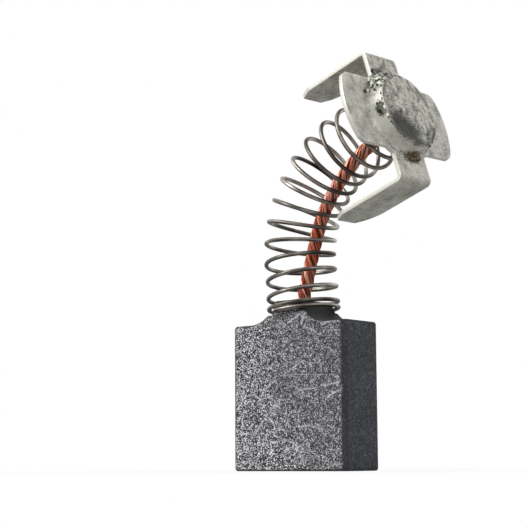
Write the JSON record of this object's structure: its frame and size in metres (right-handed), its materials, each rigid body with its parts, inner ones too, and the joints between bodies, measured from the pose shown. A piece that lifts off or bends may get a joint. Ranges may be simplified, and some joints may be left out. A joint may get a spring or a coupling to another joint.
{
  "type": "carbon brush",
  "caption": "Motor carbon brush: a necked graphite block, a coil spring bent round a twisted copper shunt, and a stamped metal cap terminal with prongs.",
  "frame": {"origin": "centre of the block's contact face", "axes": "+X across the block towards the terminal's side, +Y through its thickness, +Z from the contact face up through the neck"},
  "size_m": [0.0265, 0.0181, 0.0482],
  "materials": {
    "carbon": "pressed and sawn carbon graphite, matt and granular",
    "tamped_carbon": "carbon powder rammed tight, matt",
    "copper_braid": "twisted bare copper wire, dull",
    "spring_steel": "oil-tempered drawn wire, dark with drawing streaks",
    "tinned_brass": "stamped sheet, tinned, dulled and scratched",
    "solder": "soft solder, frosted, with flux at its edge"
  },
  "bodies": {
    "block": {"carbon_block": "carbon", "tamping_plug": "tamped_carbon", "braid": "copper_braid", "spring": "spring_steel"},
    "terminal": {"terminal": "tinned_brass", "solder": "solder"}
  },
  "joints": [
    {"name": "spring_travel", "type": "slide", "parent": "block", "child": "terminal", "axis": [0, 0, -1], "range_m": [0, 0.01], "stiffness_N_per_m": 80, "deforming": ["spring", "braid"]}
  ]
}
